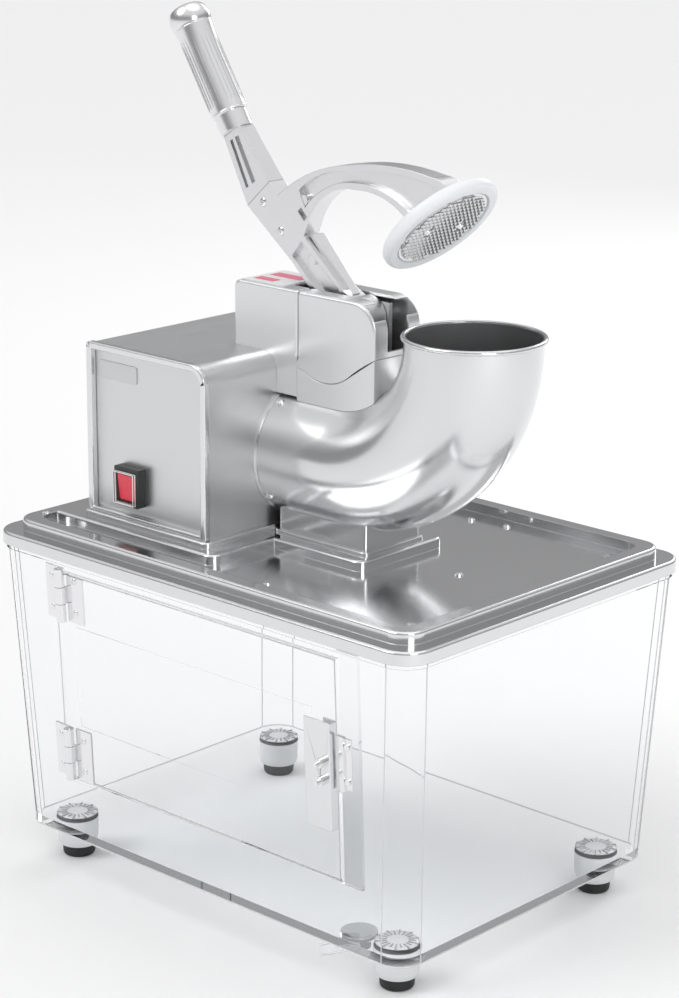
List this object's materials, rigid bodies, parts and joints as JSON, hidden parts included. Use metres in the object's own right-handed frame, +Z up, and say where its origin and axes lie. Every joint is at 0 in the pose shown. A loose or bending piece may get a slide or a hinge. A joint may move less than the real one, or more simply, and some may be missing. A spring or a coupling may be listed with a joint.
{
  "type": "shaved ice machine",
  "caption": "Tabletop ice shaver: hinged press lever over an elbow hopper, motor housing on a steel tray, and a clear snow bin with a hinged door.",
  "frame": {"origin": "on the floor under the middle of the tray", "axes": "+X along the door side towards the hopper's mouth, +Y away from the door, +Z up"},
  "size_m": [0.44, 0.3323, 0.6798],
  "materials": {
    "clear_plastic": "clear polycarbonate",
    "tray_steel": "polished pressed stainless",
    "satin_steel": "fine brushed stainless",
    "mirror_steel": "polished stainless",
    "cast_alloy": "satin cast aluminium",
    "bright_steel": "plated screws and pins",
    "grip_alloy": "polished alloy",
    "white_plastic": "food-safe white",
    "black_rubber": "soft black",
    "black_plastic": "black",
    "red_plastic": "lit red",
    "cover_alloy": "silver satin",
    "label_grey": "blank label",
    "motor_black": "black enamel"
  },
  "bodies": {
    "stand": {"bin_body": "clear_plastic", "foot_cups": "clear_plastic", "rubber_feet": "black_rubber", "drain_spout": "clear_plastic", "lid_gasket": "clear_plastic", "fixed_hinge_leaves": "bright_steel", "hinge_pins": "bright_steel", "catch_strip": "bright_steel", "catch_screws": "bright_steel", "door_stop_strip": "clear_plastic", "tray": "tray_steel", "tray_screws": "bright_steel", "chute": "mirror_steel", "elbow_hopper": "mirror_steel", "flange_screws": "bright_steel", "bearing_housing": "cast_alloy", "bearings": "bright_steel", "shaft_seal": "black_rubber", "drive_belt": "black_rubber", "motor_can": "motor_black", "motor_end_bells": "cast_alloy", "motor_bracket": "satin_steel", "housing_wrap": "satin_steel", "front_trim": "tray_steel", "front_panel": "satin_steel", "name_plate": "label_grey", "rear_panel": "satin_steel", "power_inlet": "black_plastic", "base_pan": "tray_steel", "switch_bezel": "black_plastic", "switch_cover": "clear_plastic", "rocker_pin": "bright_steel", "capacitor": "white_plastic", "rear_cover": "cover_alloy", "front_cheeks": "cover_alloy", "saddle_collar": "cover_alloy", "top_label": "label_grey", "lever_bracket": "satin_steel", "pivot_bolt": "bright_steel", "pivot_nut": "bright_steel"},
    "door": {"door_panel": "clear_plastic", "handle_plate": "tray_steel", "door_bolts": "bright_steel", "moving_hinge_leaves": "bright_steel"},
    "lever": {"lever_arm": "cast_alloy", "bar_screws": "bright_steel", "lever_bar": "cast_alloy", "pivot_bush": "white_plastic", "grip": "grip_alloy", "pusher_disc": "white_plastic", "spike_plate": "mirror_steel", "plate_screws": "bright_steel"},
    "rocker": {"rocker": "red_plastic"},
    "blade_rotor": {"blade_disc": "cast_alloy", "blades": "bright_steel", "blade_shaft": "bright_steel", "driven_pulley": "cast_alloy"},
    "motor_rotor": {"motor_rotor": "bright_steel", "motor_pulley": "cast_alloy"}
  },
  "joints": [
    {"name": "lever_pivot", "type": "hinge", "parent": "stand", "child": "lever", "pos_m": [0.0246, 0, 0.458], "axis": [0, 1, 0], "range_deg": [0, 116]},
    {"name": "door_hinge", "type": "hinge", "parent": "stand", "child": "door", "pos_m": [-0.139, -0.15789, 0.16958], "axis": [0, 0.0486, -0.9988], "range_deg": [0, 110]},
    {"name": "rocker_tilt", "type": "hinge", "parent": "stand", "child": "rocker", "pos_m": [-0.123, -0.101, 0.3165], "axis": [-1, 0, 0], "range_deg": [0, 10]},
    {"name": "blade_spin", "type": "hinge", "parent": "stand", "child": "blade_rotor", "pos_m": [0, 0, 0.346], "axis": [1, 0, 0], "continuous": true},
    {"name": "motor_spin", "type": "hinge", "parent": "stand", "child": "motor_rotor", "pos_m": [-0.1, -0.046, 0.34], "axis": [1, 0, 0], "continuous": true}
  ],
  "couplings": [
    {"joint": "motor_spin", "follows": "blade_spin", "ratio": 1.8571}
  ]
}
